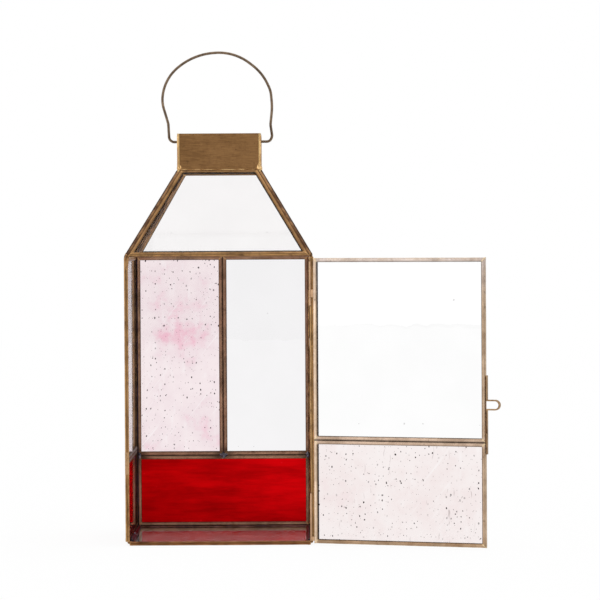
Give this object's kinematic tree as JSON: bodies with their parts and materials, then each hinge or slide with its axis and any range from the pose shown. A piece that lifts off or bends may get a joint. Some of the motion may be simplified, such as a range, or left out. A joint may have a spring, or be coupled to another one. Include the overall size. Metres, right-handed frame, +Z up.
{
  "type": "candle lantern",
  "caption": "Square glazed candle lantern with hip roof, open square chimney collar, wire carrying handle and a side-hung glazed door.",
  "frame": {"origin": "centre of the underside, on the plane the lantern stands on", "axes": "+Z up through the chimney, -Y out of the doorway, +X towards the door hinge"},
  "size_m": [0.2356, 0.1625, 0.3156],
  "materials": {
    "channel": "aged, brown patina with rubbed edges",
    "door_channel": "pale brushed brass",
    "collar_brass": "brown patina, brushed",
    "solder": "uneven bright solder, brass toned",
    "hinge_brass": "satin",
    "pull_brass": "satin, darkened edges",
    "pin_steel": "dark satin",
    "handle_wire": "dark brown oxide",
    "clear_glass": "clear sheet",
    "red_glass": "streaky red, translucent",
    "pink_glass": "clear with pink and dark speckles",
    "pale_glass": "clear with fine pale pink speckles"
  },
  "bodies": {
    "lantern": {"floor_glass": "clear_glass", "floor_channel": "channel", "left_lower_glass": "red_glass", "left_lower_channel": "channel", "left_upper_glass": "clear_glass", "left_upper_channel": "channel", "right_lower_glass": "clear_glass", "right_lower_channel": "channel", "right_upper_glass": "pink_glass", "right_upper_channel": "channel", "back_lower_glass": "red_glass", "back_lower_channel": "channel", "back_left_glass": "pink_glass", "back_left_channel": "channel", "back_right_glass": "clear_glass", "back_right_channel": "channel", "roof_front_glass": "clear_glass", "roof_front_channel": "channel", "roof_right_glass": "clear_glass", "roof_right_channel": "channel", "roof_back_glass": "clear_glass", "roof_back_channel": "channel", "roof_left_glass": "clear_glass", "roof_left_channel": "channel", "collar_front": "collar_brass", "collar_right": "collar_brass", "collar_back": "collar_brass", "collar_left": "collar_brass", "body_knuckles_upper": "hinge_brass", "body_knuckle_lower": "hinge_brass", "hinge_pin_upper": "pin_steel", "hinge_pin_lower": "pin_steel", "joint_strap": "solder", "wall_solder": "solder", "floor_solder": "solder", "hip_solder": "solder", "eave_solder": "solder", "collar_solder": "solder"},
    "door": {"door_lower_glass": "pale_glass", "door_lower_channel": "door_channel", "door_upper_glass": "clear_glass", "door_upper_channel": "door_channel", "door_pull": "pull_brass", "door_knuckle_upper": "hinge_brass", "door_knuckle_lower": "hinge_brass"},
    "handle": {"bail": "handle_wire"}
  },
  "joints": [
    {"name": "door_hinge", "type": "hinge", "parent": "lantern", "child": "door", "pos_m": [0.0577, -0.0583, 0.0905], "axis": [0, 0, 1], "range_deg": [-159.5, 10]},
    {"name": "handle_pivot", "type": "hinge", "parent": "lantern", "child": "handle", "pos_m": [0, 0, 0.257], "axis": [1, 0, 0], "range_deg": [-120, 120]}
  ]
}
